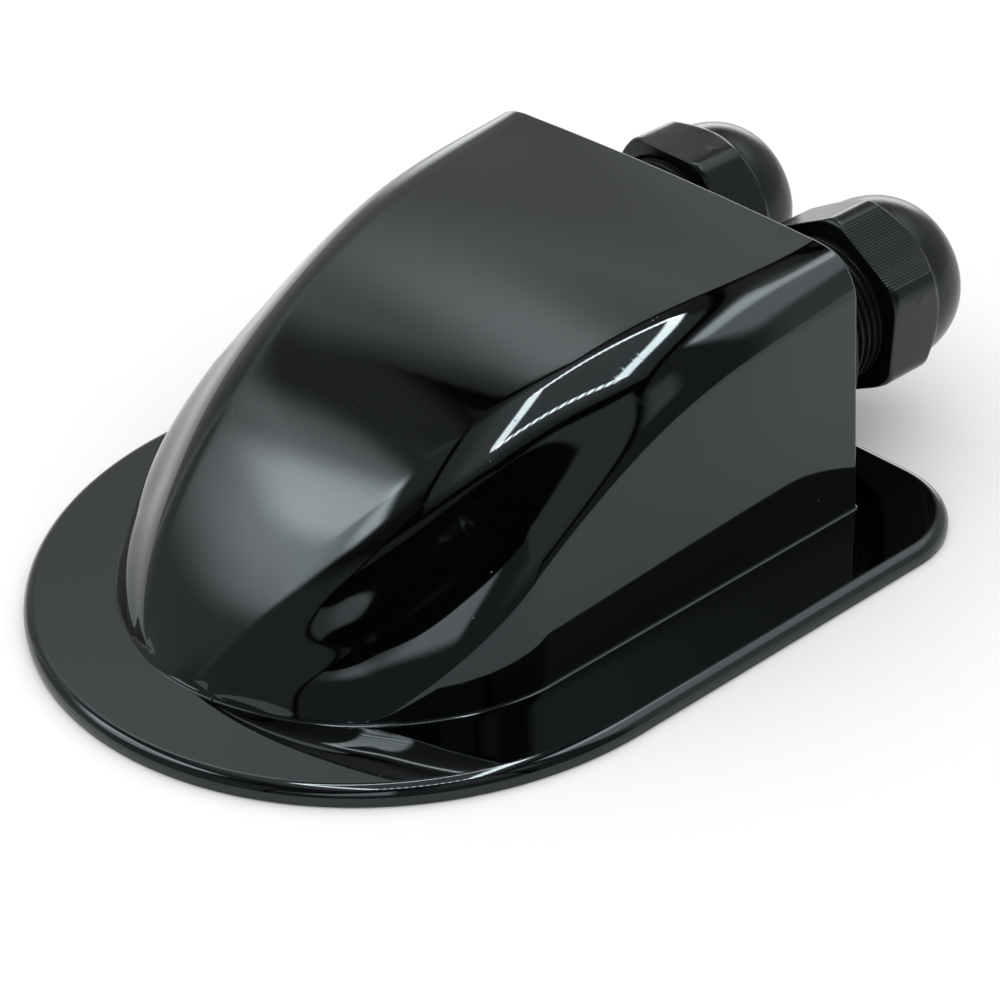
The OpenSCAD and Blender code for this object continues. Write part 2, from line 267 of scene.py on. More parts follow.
def make_piece(name, skin, material, body, node):
    """Turns a skin's faces outwards, and hands the piece to a body in a node's place."""
    points = np.concatenate(skin.points)
    normals = unit(np.concatenate(skin.normals))
    faces = []
    for size in (3, 4):
        same = np.array([f for f in skin.faces if len(f) == size], int).reshape(-1, size)
        corner = points[same] / MM
        turn = np.cross(corner[:, 1] - corner[:, 0], corner[:, 2] - corner[:, 0])
        if size == 4:
            turn = turn + np.cross(corner[:, 2] - corner[:, 0], corner[:, 3] - corner[:, 0])
        wrong = (turn * normals[same].sum(1)).sum(1) < 0
        same[wrong] = same[wrong][:, ::-1]
        real = np.linalg.norm(turn, axis=1) > 1e-16
        faces.extend(same[real].tolist())
    piece = link_mesh(name, points, faces, material)
    piece.data.polygons.foreach_set("use_smooth", np.ones(len(faces), bool))
    piece.data.normals_split_custom_set_from_vertices(normals.tolist())
    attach(piece, body)
    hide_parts(node)


# The hood


class HoodShape:
    """The hood's surface: points [across, forward from the back wall, up], in millimetres."""

    # Run along the foot in which the nose turns, and the run at which the crest ends
    nose_arc, foot_end = 67.2, 124.0
    # How square the nose's outline is, and how late the crest catches up with the foot
    nose_power, slack_power = 1.07, 2.5
    # Where the side wall's top bends down, its fall past that, and how softly it bends and ends
    wall_bend, wall_fall, bend_softness, ease_out = 36.2, 0.63, 10.3, 1.6
    # Draft of the side wall and its further lean, in degrees, and where it leans over
    wall_draft, wall_lean, lean_from, lean_over = 1.8, 6.3, 12, 85
    # Where the broad roll turns into a steep side, and where that opens out beside the nose
    steep_from, steep_over, open_from, open_over = -0.04, 0.67, 60, 45
    # The slope's controls, each (at the back, beside the nose): out from the crest, as shares
    # of the slope's reach, and down from it, as shares of its drop
    lead_out, brow_out, cheek_out = (0.54, 0.48), (0.84, 0.47), (0.88, 0.73)
    brow_down, cheek_down = (0.08, 0.58), (0.5, 0.48)
    # The last control's height over the wall's top, and both shares where the side opens out
    foot_up, open_up, open_in = (0.29, 0.06), 0.45, 0.22

    def __init__(self, s):
        self.sizes = s
        self.half_w = s.hood_w / 2
        self.straight = s.hood_len - s.nose_len
        self.crest_end = s.hood_len - 0.5
        self.crest_controls = [
            [32.4, 0, s.hood_h - s.crown_h],
            [31, 31, 45.8],
            [24.5, 48.5, 54.9],
            [19.3, 98.8, 22.7],
            [4.8, self.crest_end, s.flange_t],
        ]

    def crest(self, t):
        """Where the top panel turns into the shoulder: a curve of five controls."""
        return bezier(self.crest_controls, t)

    def foot(self, run):
        """Foot line: straight, then [w cos^1.07, nose sin^1.07] of a turn that grows with the run."""
        turn = np.radians(90 * np.clip((run - self.straight) / self.nose_arc, 0, 1))
        behind = run <= self.straight
        across = np.where(behind, self.half_w, self.half_w * np.cos(turn) ** self.nose_power)
        ahead = self.straight + self.sizes.nose_len * np.sin(turn) ** self.nose_power
        forward = np.where(behind, run, ahead)
        return np.stack([across, forward, np.full_like(across, self.sizes.flange_t)], -1)

    def run_at(self, forward):
        """Run along the foot for a place along the crest: forward + slack (forward / end)^2.5."""
        share = np.maximum(forward, 0) / self.crest_end
        return forward + (self.foot_end - self.crest_end) * share**self.slack_power

    def wall_rise(self, run):
        """Height of the side wall: level, a soft bend, an even fall, and eased out at the end."""
        bent = np.logaddexp(0, (run - self.wall_bend) / self.bend_softness) * self.bend_softness
        fallen = self.sizes.wall_h - self.wall_fall * bent
        return self.sizes.wall_lip + (fallen + np.sqrt(fallen**2 + self.ease_out**2)) / 2

    def slope_controls(self, t):
        """Six controls from the crest to the wall's top, and the foot; the roll grows steep with t."""
        a = self.crest(t)
        near, far = self.crest(t - 0.01), self.crest(t + 0.01)
        falling = (far[..., 2] - near[..., 2]) / (far[..., 1] - near[..., 1])
        run = self.run_at(a[..., 1])
        f = self.foot(run)
        rise = self.wall_rise(run)
        inward = a - f
        inward[..., 2] = 0
        inward[..., 1] -= 0.001
        inward = unit(inward)
        leaned = self.wall_lean * smooth((run - self.lean_from) / self.lean_over)
        lean = np.tan(np.radians(self.wall_draft + leaned))
        b = f + inward * (rise * lean)[..., None]
        b[..., 2] += rise
        reach = np.hypot(b[..., 0] - a[..., 0], b[..., 1] - a[..., 1])
        drop = a[..., 2] - b[..., 2]
        steep = smooth((t - self.steep_from) / self.steep_over)
        opened = smooth((run - self.open_from) / self.open_over)
        lead = mix(*self.lead_out, steep) * reach
        fall = np.minimum(0.5 * drop, np.maximum(0, falling * inward[..., 1] * lead))
        lifted = mix(mix(*self.foot_up, steep), self.open_up, opened)

        def at(start, out, down):
            """The start moved out from the crest and down."""
            return start - inward * out[..., None] - UP * down[..., None]

        return [
            a,
            at(a, lead, fall),
            at(a, reach * mix(*self.brow_out, steep), drop * mix(*self.brow_down, steep)),
            at(a, reach * mix(*self.cheek_out, steep), drop * mix(*self.cheek_down, steep)),
            at(b, -reach * self.open_in * opened, -drop * lifted),
            b,
        ], f

    def grid(self, t, walls, slopes, panels, foot_r):
        """Rows from foot to foot over the top, the last one along the foot round the nose.

        A row is the wall, the slope, half the panel, and the same mirrored. It starts above
        the foot by the radius. With the points come their normals, upwards.
        """
        controls, f = self.slope_controls(t)
        lift = np.minimum(foot_r, 0.9 * (controls[5][:, 2] - f[:, 2]))
        f = f + UP * lift[:, None]
        climb = np.linspace(0, 1, walls, endpoint=False)[None, :, None]
        wall = f[:, None] * (1 - climb) + controls[5][:, None] * climb
        ease = np.ones((len(t), 1)) * np.linspace(1, 0, slopes, endpoint=False)
        slope = bezier([c[:, None] * np.ones((1, slopes, 1)) for c in controls], ease)
        side = np.concatenate([wall, slope], 1)
        s = np.linspace(1, -1, 2 * panels + 1)[None]
        level = 1 - s * s
        across, forward, up = (controls[0][:, k : k + 1] for k in range(3))
        forward = forward + 0.5 * t[:, None] ** 6 * level
        up = up + self.sizes.crown_h * (1 - t[:, None]) * level
        panel = np.stack([across * s, forward, up], -1)
        rows = np.concatenate([side, panel, side[:, ::-1] * [-1, 1, 1]], 1)
        columns = rows.shape[1]
        place = 1 - 2 * np.arange(columns) / (columns - 1)
        tip = self.straight + self.nose_arc
        nose = self.foot(tip - (tip - self.foot_end) * np.abs(place))
        nose[:, 0] *= np.sign(place)
        nose[:, 2] += lift[-1]
        points = np.concatenate([rows, nose[None]], 0)
        normals = grid_normals(points)
        return points, normals * np.sign(normals[len(points) // 3, columns // 2, 2])

    def outside(self):
        """The outer face: rows up to the nose, and a rim that turns a quarter circle back and in."""
        rim_r, last = self.sizes.rim_r, 0.994
        first = rim_r / (4 * self.crest_controls[1][1])
        t = first + (last - first) * np.linspace(0, 1, 170, endpoint=False)
        points, normals = self.grid(t, 7, 44, 14, self.sizes.foot_r)
        normals[:, [0, -1], 2] = 0
        normals = unit(normals)
        edge, facing = points[0], unit(normals[0] * [1, 0, 1])
        facing[0], facing[-1] = [1, 0, 0], [-1, 0, 0]
        turns = angles(90, 0, 7)[:-1, None, None]
        rim = edge - facing * (rim_r * (1 - np.cos(turns)))
        rim[..., 1] = edge[:, 1] * (1 - np.sin(turns[..., 0]))
        rim[:, [0, -1], 2] = edge[0, 2]
        rim_normals = facing * np.cos(turns) - np.array([0.0, 1.0, 0.0]) * np.sin(turns)
        return np.concatenate([rim, points]), np.concatenate([rim_normals, normals])


def open_edge(a):
    """The open edge of a grid: down its first column, along its last row and back up."""
    return np.concatenate([a[:-1, 0], a[-1], a[-2::-1, -1]], 0)


def sill(corner, steps):
    """Points along the back wall's foot, between a corner and its mirror."""
    points = np.tile(corner, (steps - 1, 1))
    points[:, 0] = np.linspace(-corner[0], corner[0], steps + 1)[1:-1]
    return points


def flange_outline(s, rear_y, inset, z):
    """Outline drawn in by an inset: a half circle round the nose, two sides, two rear corners."""
    half, corner_r = s.flange_w / 2, s.flange_corner_r
    nose_y = rear_y - s.flange_len + half
    corner_x, corner_y = half - corner_r, rear_y - corner_r

    def arc(x, y, radius, start, end, count):
        """Points on a circle, from one angle to another."""
        sweep = angles(start, end, count)
        return np.stack([x + radius * np.cos(sweep), y + radius * np.sin(sweep)], -1)

    front = arc(0, nose_y, half - inset, 0, -180, 161)
    side = np.stack([np.full(39, inset - half), np.linspace(nose_y, corner_y, 41)[1:-1]], -1)
    left = np.concatenate([side, arc(-corner_x, corner_y, corner_r - inset, 180, 90, 25)])
    rear = np.stack([np.linspace(-corner_x, corner_x, 33)[1:-1], np.full(31, rear_y - inset)], -1)
    flat = np.concatenate([front, left, rear, left[::-1] * [-1, 1]])
    return np.concatenate([flat, np.full((len(flat), 1), z)], 1)


def flange_edge(skin, s, rear_y):
    """Rings down the flange's edge: rolled over at the top, upright, and turned in at the bottom."""
    facing = unit(flange_outline(s, rear_y, 0, 0) - flange_outline(s, rear_y, 1, 0))
    roll, low = s.flange_edge_r, s.flange_foot_r
    bends = ((roll, s.flange_t - roll, angles(0, 90, 13)), (low, low, angles(90, 180, 5)))
    rings = []
    for radius, level, tilts in bends:
        for tilt in tilts:
            inset, z = radius * (1 - math.sin(tilt)), level + radius * math.cos(tilt)
            normals = facing * math.sin(tilt) + UP * math.cos(tilt)
            rings.append(skin.add(flange_outline(s, rear_y, inset, z), normals))
    skin.grid(np.stack(rings), close_columns=True)
    return rings


def gland_axis(side):
    """Where a gland's axis stands in the frame: across and up, in millimetres."""
    low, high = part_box(side + "_gland_body")
    return (low.x + high.x) / 2 * MM, (low.z + high.z) / 2 * MM


def wall_hole(skin, place, side, wall_t, radius=12.6, edge=0.25):
    """A bore through the back wall, with a narrow edge at each end that turns into the wall."""
    x, z = gland_axis(side)
    swing = np.radians(np.arange(0, 360, 5))
    towards = -np.stack([np.cos(swing), 0 * swing, np.sin(swing)], -1)
    rings = []
    ends = ((edge, 0, BACK), (0, edge, towards), (0, wall_t - edge, towards), (edge, wall_t, -BACK))
    for wider, depth, facing in ends:
        circle = np.array([x, depth, z]) - towards * (radius + wider)
        rings.append(skin.add(place(circle), facing))
    skin.grid(np.stack(rings), close_columns=True)
    return rings


def build_hood(sizes, material):
    """One closed skin: hood, rounded rim, foot fillet, flange, underside and hollow inside."""
    s = millimetres(sizes)
    shape = HoodShape(s)
    skin = Skin()
    rear_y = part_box("housing")[1].y * MM

    def place(points):
        """[across, forward, up] to the frame: y = wall - forward."""
        return np.stack([points[..., 0], rear_y - s.back_inset - points[..., 1], points[..., 2]], -1)

    # Outer face and the sill that closes it under the back wall
    outer, normals = shape.outside()
    ids = skin.add(place(outer), normals * TO_FRAME)
    skin.grid(ids)
    outer_sill = place(sill(outer[0, 0], 24))
    sill_ids = skin.add(outer_sill, BACK)

    # Foot fillet all round: from the wall's foot out and down to the flange
    loop = np.concatenate([open_edge(place(outer)), outer_sill])
    away = np.concatenate([open_edge(normals * TO_FRAME), np.tile(BACK, (len(outer_sill), 1))])
    away = unit(away * [1, 1, 0])
    depth = loop[:, 2:] - s.flange_t
    fillet = [np.concatenate([open_edge(ids), sill_ids])]
    for turn in angles(0, 90, 6)[1:]:
        ring = loop + away * depth * (1 - math.cos(turn)) - UP * depth * math.sin(turn)
        fillet.append(skin.add(ring, away * math.cos(turn) + UP * math.sin(turn)))
    skin.grid(np.stack(fillet), close_columns=True)
    edge = flange_edge(skin, s, rear_y)
    skin.fill(edge[0], [fillet[-1]], 0, 1)

    # Hollow: the outer face moved in by the wall, its foot dropped to the underside
    core, outwards = shape.grid(np.linspace(0, 1, 56, endpoint=False), 2, 18, 6, 0.0)
    hollow = core - s.wall_t * outwards
    hollow[0, :, 1] = s.wall_t
    hollow[-1, :, 2] = 0
    hollow[:, [0, -1], 2] = 0
    in_ids = skin.add(place(hollow), -outwards * TO_FRAME)
    skin.grid(in_ids)
    in_sill_ids = skin.add(place(sill(hollow[0, 0], 12)), -BACK)
    skin.fill(edge[-1], [np.concatenate([open_edge(in_ids), in_sill_ids])], 0, 1)

    # Back wall, outside and inside, with the two gland holes
    holes = [wall_hole(skin, place, side, s.wall_t) for side in SIDES]
    skin.fill(np.concatenate([ids[0], sill_ids]), [hole[0] for hole in holes], 0, 2)
    skin.fill(np.concatenate([in_ids[0], in_sill_ids]), [hole[-1] for hole in holes], 0, 2)
    make_piece("hood_moulding", skin, material, "base", "housing")


# The glands


def from_flat(angle):
    """Angle from the middle of a hexagon's nearest flat: the turn's remainder past a sixth."""
    return (angle + math.pi / 6) % (math.pi / 3) - math.pi / 6


def flat_angles(turn, ribbed, ribs):
    """Angles round a hexagon: even steps along each flat, finer on the ribbed flats."""
    angles = []
    for k in range(6):
        n = ribs * 6 if k in ribbed else 26
        v = np.linspace(-1, 1, n, endpoint=False)
        if k not in ribbed:
            v = np.sin(v * math.pi / 2) * 0.5 + v * 0.5
        angles.append(np.arctan(v * math.tan(math.pi / 6)) + k * math.pi / 3)
    return np.concatenate(angles) + math.radians(turn)


def revolve(skin, bands, angle, x, y, z):
    """A closed section turned about +Y: [x + radius cos, y + along, z - radius sin].

    Each band gives radii, one for each height or for each height and angle, and the heights.
    """
    radius = np.concatenate([radii + 0 * angle for radii, _ in bands])
    along = np.concatenate([heights for _, heights in bands])[:, None] + 0 * angle
    points = np.stack([x + radius * np.cos(angle), y + along, z - radius * np.sin(angle)], -1)
    d_row, d_column = (np.roll(points, -1, k) - np.roll(points, 1, k) for k in (0, 1))
    ids = skin.add(points, -unit(np.cross(d_row, d_column)))
    skin.grid(ids, close_rows=True, close_columns=True)


def section(corners, step=0.8):
    """A band of straight lines from corner to corner, each (radius, height), cut into steps."""
    corners = np.array(corners, float)
    lines = []
    for a, b in zip(corners[:-1], corners[1:]):
        n = max(2, int(np.linalg.norm(b - a) / step))
        lines.append(a + (b - a) * np.linspace(0, 1, n, endpoint=False)[:, None])
    line = np.concatenate(lines)
    return line[:, :1], line[:, 1]


class GlandShape:
    """Sizes of one gland in millimetres, and its place read from the frame."""

    tail_len, cap_thread_len = 13.0, 14.5
    wall_thread_r, cap_thread_r = 12.4, 13.0
    bore_r, socket_r, edge = 9.6, 11.6, 0.3
    # The dome nut's lip, mouth, cone, and the threaded bore with its lead-in
    lip_r, mouth_r, mouth_len = 9.6, 8.6, 1.6
    cone_r, nut_bore_r, nut_bore_len = 10.1, 13.05, 12.2
    # How far the turned corners of the hexagons stand past the flats
    corner_over = 1.7

    def __init__(self, sizes, side):
        self.sizes = millimetres(sizes)
        self.x, self.z = gland_axis(side)
        self.wall_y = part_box(side + "_gland_body")[0].y * MM + self.tail_len
        self.nut_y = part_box(side + "_dome_nut")[0].y * MM
        self.hex_top = self.sizes.washer_t + self.sizes.body_hex_t
        self.nut_len = self.sizes.nut_hex_len + self.sizes.dome_len

    def thread(self, along, angle, major, start, end, fade_len=0.8):
        """Helical thread: major radius less a rounded V that repeats with along / pitch - turn."""
        along = along[:, None]
        phase = (along / self.sizes.thread_pitch - angle / (2 * math.pi)) % 1.0
        wave = 0.5 - 0.5 * np.cos(2 * math.pi * phase)
        crest = np.clip(wave * 1.5 - 0.1, 0, 1)
        fade = smooth((along - start) / fade_len) * smooth((end - along) / fade_len)
        return major - self.sizes.thread_depth * mix(1.0, 1 - crest, fade)


def build_gland_body(side, turn, sizes, material):
    """Gland body: two threaded ends and a hexagon with turned corners, bored for the cable."""
    g = GlandShape(sizes, side)
    skin = Skin()
    angle = np.radians(np.arange(0, 360, 2.0))
    washer_t, thread_step = g.sizes.washer_t, 0.15
    cap_end = g.hex_top + g.cap_thread_len
    tail = np.arange(-g.tail_len, washer_t - thread_step, thread_step)
    cap = np.arange(g.hex_top, cap_end + 0.01, thread_step)

    # The hexagon's heights lie closer together where its corners are turned off
    rise = np.concatenate(
        [[0, 0.12], np.linspace(0.3, 1.6, 7), [2.6, 3.6, 4.6], np.linspace(5.6, 6.9, 7), [7.08, 7.2]]
    )
    rise = rise / rise[-1] * (g.hex_top - washer_t)
    half = g.sizes.body_af / 2
    from_end = np.minimum(rise, rise[-1] - rise)[:, None]
    cone = half + g.corner_over - np.maximum(0, 1.0 - from_end) * 1.2
    flats = soft_min(half / np.cos(from_flat(angle - math.radians(turn))), cone, 0.35)

    socket_r, floor, tail_end = g.socket_r, g.hex_top + 0.6, -g.tail_len
    inside_line = [
        (socket_r + g.edge, cap_end), (socket_r, cap_end - g.edge), (socket_r, floor), (g.bore_r, floor),
        (g.bore_r, tail_end + g.edge), (g.bore_r + g.edge, tail_end), (g.wall_thread_r - 1, tail_end),
    ]
    bands = [
        (g.thread(tail, angle, g.wall_thread_r, tail_end, washer_t - 1), tail),
        (flats, washer_t + rise),
        (g.thread(cap, angle, g.cap_thread_r, g.hex_top + 1, cap_end), cap),
        section(inside_line),
    ]
    revolve(skin, bands, angle, g.x, g.wall_y, g.z)
    name, node = side + "_threaded_body", side + "_gland_body"
    make_piece(name, skin, material, "base", node)


def build_dome_nut(side, turn, ribbed, dot_flat, dot_side, sizes, material):
    """Dome nut: hexagon with ribbed flats, a seam, a rounded dome with the mouth, bore and cone."""
    g = GlandShape(sizes, side)
    s = g.sizes
    skin = Skin()
    angle = flat_angles(turn, ribbed, s.rib_count)
    half, hex_len, margin = s.nut_af / 2, s.nut_hex_len, 1.6
    low = [0.0, 0.06, 0.14, 0.26, 0.42, 0.6, 0.8, 1.1, 1.6]
    middle, high = np.linspace(2.4, hex_len - 2.6, 9), np.linspace(hex_len - 2.2, hex_len - 0.12, 10)
    up = np.concatenate([low, middle, high, [hex_len - 0.05]])

    # Ribs: grooves at even steps across the ribbed flats, up to a margin beside the corners
    local = angle - math.radians(turn)
    off = from_flat(local)
    flat = np.floor((local + math.pi / 6) / (math.pi / 3)).astype(int) % 6
    across = half * np.tan(off)
    reach = half * math.tan(math.pi / 6) - margin
    groove_at = ((across + reach) / (2 * reach) * s.rib_count) % 1.0
    groove = smooth(np.clip(1 - np.abs(groove_at - 0.75) / 0.3, 0, 1))
    groove = groove * (np.abs(across) < reach) * np.isin(flat, ribbed)
    sides = half / np.cos(off) - s.rib_depth * groove

    # Corners turned off at both ends, a rounded lower edge, and a raised dot on one flat
    height = up[:, None]
    lead_in = half + g.corner_over - np.maximum(0, 0.9 - height) * 0.75
    tail_off = half + g.corner_over - np.maximum(0, height - (hex_len - 1.8)) * 0.95
    hexagon = soft_min(sides, np.minimum(lead_in, tail_off), 0.3)
    edge_r, dot_r, dot_x = 0.35, 0.75, dot_side * 5.6
    hexagon = hexagon - (edge_r - np.sqrt(np.maximum(0, edge_r**2 - np.maximum(0, edge_r - height) ** 2)))
    spot = np.hypot(across - dot_x, height - hex_len * 0.55)
    hexagon = hexagon + 0.16 * smooth(1.2 - spot / dot_r) * (flat == dot_flat)

    # Dome: a quarter of an ellipse from the seam to the lip
    seam = 0.12
    tilt = angles(0, 90, 26)
    dome_r = g.lip_r + (half - seam - g.lip_r) * np.cos(tilt)
    dome = np.minimum(dome_r[:, None], sides + 0.02)
    mouth_end = g.nut_len - g.mouth_len
    inside_line = [
        (g.lip_r - 0.25, g.nut_len), (g.mouth_r + 0.25, g.nut_len - 0.02), (g.mouth_r, g.nut_len - g.edge),
        (g.mouth_r, mouth_end), (g.cone_r, mouth_end), (g.nut_bore_r, g.nut_bore_len),
        (g.nut_bore_r, 0.5), (g.nut_bore_r + 0.35, 0.02), (14.3, 0.0),
    ]
    bands = [(hexagon, up), (dome, hex_len + s.dome_len * np.sin(tilt)), section(inside_line)]
    revolve(skin, bands, angle, g.x, g.nut_y, g.z)
    name, node = side + "_ribbed_nut", side + "_dome_nut"
    make_piece(name, skin, material, side + "_nut", node)


# Finishes


class Level:
    """A number that nodes work out for each place; levels add, subtract and multiply."""

    def __init__(self, tree, socket):
        self.tree = tree
        self.socket = socket

    def maths(self, operation, *others):
        """A maths node of this level and of others, each a level or a plain number."""
        node = self.tree.nodes.new("ShaderNodeMath")
        node.operation = operation
        for socket, value in zip(node.inputs, (self, *others)):
            if isinstance(value, Level):
                self.tree.links.new(value.socket, socket)
            else:
                socket.default_value = value
        return Level(self.tree, node.outputs["Value"])

    def __add__(self, other):
        return self.maths("ADD", other)

    def __sub__(self, other):
        return self.maths("SUBTRACT", other)

    def __mul__(self, other):
        return self.maths("MULTIPLY", other)

    def step(self, start, end, low=0.0, high=1.0):
        """A smooth step from low to high as this level goes from start to end."""
        node = self.tree.nodes.new("ShaderNodeMapRange")
        node.interpolation_type = "SMOOTHSTEP"
        self.tree.links.new(self.socket, node.inputs["Value"])
        for name, number in zip(("From Min", "From Max", "To Min", "To Max"), (start, end, low, high)):
            node.inputs[name].default_value = number
        return Level(self.tree, node.outputs["Result"])

    def fade(self, start, end):
        """A smooth step from one down to nothing."""
        return self.step(start, end, 1.0, 0.0)

    def band(self, low, high, soft):
        """One between low and high, with soft edges."""
        rise = self.step(low - soft / 2, low + soft / 2)
        return rise * self.fade(high - soft / 2, high + soft / 2)

    def curve(self, *factors):
        """A polynomial of this level, its factors from the constant upwards."""
        held = self * factors[-1] + factors[-2]
        for factor in factors[-3::-1]:
            held = held * self + factor
        return held


class Nodes:
    """Short calls for a material's nodes and links."""

    def __init__(self, name, **constants):
        self.material = bpy.data.materials.new(name)
        self.material.use_nodes = True
        self.tree = self.material.node_tree
        self.shader = self.tree.nodes["Principled BSDF"]
        self.place = self.add("ShaderNodeTexCoord").outputs["Object"]
        for key, value in constants.items():
            self.shader.inputs[key.replace("_", " ")].default_value = value

    def add(self, kind, **values):
        """A node with its plain settings; names that are inputs are set on the inputs."""
        node = self.tree.nodes.new(kind)
        for key, value in values.items():
            if hasattr(node, key):
                setattr(node, key, value)
            else:
                node.inputs[key.replace("_", " ")].default_value = value
        return node

    def link(self, a, b):
        """Links a level or socket to an input, or to the shader's input of that name."""
        self.tree.links.new(getattr(a, "socket", a), self.shader.inputs[b] if isinstance(b, str) else b)

    def noise(self, scale, detail=2.0, rough=0.5, stretch=None):
        """Noise on object coordinates, optionally stretched along the axes."""
        node = self.add("ShaderNodeTexNoise", Scale=scale, Detail=detail, Roughness=rough)
        source = self.place
        if stretch:
            mapping = self.add("ShaderNodeMapping", Scale=stretch)
            self.link(source, mapping.inputs["Vector"])
            source = mapping.outputs["Vector"]
        self.link(source, node.inputs["Vector"])
        return node.outputs["Fac"]

    def ramp(self, source, *stops):
        """The level of a grey ramp through two (place, value) stops."""
        node = self.add("ShaderNodeValToRGB")
        for element, (place, value) in zip(node.color_ramp.elements, stops):
            element.position = place
            element.color = (value, value, value, 1)
        self.link(source, node.inputs["Fac"])
        return Level(self.tree, node.outputs["Color"])

    def blend(self, share, a, b):
        """Base colour: two colours mixed by a share. The node's colours are its inputs 6 and 7."""
        node = self.add("ShaderNodeMix", data_type="RGBA")
        self.link(share, node.inputs["Factor"])
        node.inputs[6].default_value = (*a, 1)
        node.inputs[7].default_value = (*b, 1)
        self.link(node.outputs[2], "Base Color")

    def clouds(self, scale, plain, paler):
        """Base colour: a plain colour with soft clouds of a paler one."""
        cloud = self.ramp(self.noise(scale, 3, 0.6), (0.3, 0.0), (0.75, 1.0))
        self.blend(cloud, plain, [c * paler for c in plain])

    def gloss(self, noise, low, high):
        """Roughness that drifts between two values with a noise."""
        self.link(self.ramp(noise, (0.3, low), (0.75, high)), "Roughness")

    def bump(self, height, distance, under=None):
        """A bump in metres of height."""
        node = self.add("ShaderNodeBump", Strength=1.0, Distance=distance)
        self.link(height, node.inputs["Height"])
        if under is not None:
            self.link(under, node.inputs["Normal"])
        return node.outputs["Normal"]


def gloss_plastic(colours):
    """Glossy moulded plastic: faint flow in the gloss, hairline scratches and dust specks."""
    m = Nodes("glossy_black_moulding", IOR=1.53, Specular_Tint=COOL_SHEEN)
    haze = m.ramp(m.noise(26, 4, 0.6), (0.35, 0.022), (0.7, 0.045))
    scratch = m.ramp(m.noise(900, 2, 0.5, (0.05, 1.0, 0.6)), (0.60, 0.0), (0.72, 1.0))
    patch = m.ramp(m.noise(60, 3, 0.5), (0.5, 0.0), (0.62, 1.0))
    worn = scratch * patch
    speck = m.add("ShaderNodeTexVoronoi", Scale=420.0)
    m.link(m.place, speck.inputs["Vector"])
    chosen = m.ramp(m.noise(300, 1, 0.5), (0.66, 0.0), (0.7, 1.0))
    dust = m.ramp(speck.outputs["Distance"], (0.05, 1.0), (0.09, 0.0)) * chosen
    m.blend(dust, colours.hood, (0.05, 0.05, 0.05))
    m.link(haze + worn * 0.05 + dust * 0.4, "Roughness")
    flow = m.bump(m.noise(14, 2, 0.5), 0.000008)
    m.link(m.bump(worn, 0.0000015, under=flow), "Normal")
    return m.material


def satin_nylon(colours):
    """Satin moulded nylon: fine grain, soft clouding in colour and gloss."""
    m = Nodes("satin_black_nylon", IOR=1.53, Specular_IOR_Level=0.28, Specular_Tint=COOL_SHEEN)
    m.clouds(120, colours.nylon, 1.7)
    m.gloss(m.noise(220, 3, 0.6), 0.17, 0.25)
    grain = m.bump(m.noise(5200, 2, 0.6), 0.000012)
    m.link(m.bump(m.noise(160, 2, 0.5), 0.00005, under=grain), "Normal")
    return m.material


def shade_dulled_nylon(colours):
    """Nylon of the threaded and hidden pieces, duller than the nuts. Its weaker gloss is painted shade,
    standing in for the shadow of the hood and nuts on the threads.
    """
    m = Nodes("shade_dulled_black_nylon", Specular_IOR_Level=0.2, Specular_Tint=COOL_SHEEN)
    m.clouds(160, colours.nylon, 1.5)
    m.gloss(m.noise(260, 3, 0.6), 0.36, 0.46)
    m.link(m.bump(m.noise(4200, 2, 0.6), 0.000012), "Normal")
    return m.material


def sealing_rubber(colours):
    """Matt rubber with a fine moulded grain."""
    m = Nodes("matt_black_rubber")
    m.clouds(300, colours.rubber, 1.6)
    m.gloss(m.noise(400, 2, 0.5), 0.62, 0.8)
    m.link(m.bump(m.noise(3500, 2, 0.6), 0.00003), "Normal")
    return m.material


def table_top(colours):
    """Matt pale table top, a little uneven in tone."""
    m = Nodes("pale_table", Roughness=0.7, Specular_IOR_Level=0.2)
    tone = m.ramp(m.noise(3, 2, 0.5), (0.3, 0.0), (0.7, 1.0))
    m.blend(tone, colours.table, [min(1, c * 1.02) for c in colours.table])
    return m.material


def finish_named(name, maker):
    """The finish of that name, made at its first use."""
    made = bpy.data.materials.get(name)
    return made or maker(bpy.context.scene.cable_entry_finishes)


# Operators


class CABLE_ENTRY_OT_hood(bpy.types.Operator):
    """Build the smooth hood moulding with its flange, rim and hollow"""

    bl_idname = "cable_entry.hood"
    bl_label = "Hood moulding"

    def execute(self, context):
        build_hood(context.scene.cable_entry_hood, finish_named("glossy_black_moulding", gloss_plastic))
        return {"FINISHED"}


class CABLE_ENTRY_OT_gland_bodies(bpy.types.Operator):
    """Build both threaded gland bodies"""

    bl_idname = "cable_entry.gland_bodies"
    bl_label = "Gland bodies"

    def execute(self, context):
        # The threads take the duller nylon, whose weak gloss is painted shade for the shadow of the hood
        # and nuts
        nylon = finish_named("shade_dulled_black_nylon", shade_dulled_nylon)
        for side, turn in (("left", 0), ("right", -6)):
            build_gland_body(side, turn, context.scene.cable_entry_glands, nylon)
        return {"FINISHED"}


class CABLE_ENTRY_OT_dome_nuts(bpy.types.Operator):
    """Build both ribbed dome nuts"""

    bl_idname = "cable_entry.dome_nuts"
    bl_label = "Dome nuts"

    def execute(self, context):
        sizes = context.scene.cable_entry_glands
        nylon = finish_named("satin_black_nylon", satin_nylon)
        build_dome_nut("left", 91, (2, 5), 3, 1, sizes, nylon)
        build_dome_nut("right", 4, (2, 5), 0, -1, sizes, nylon)
        return {"FINISHED"}


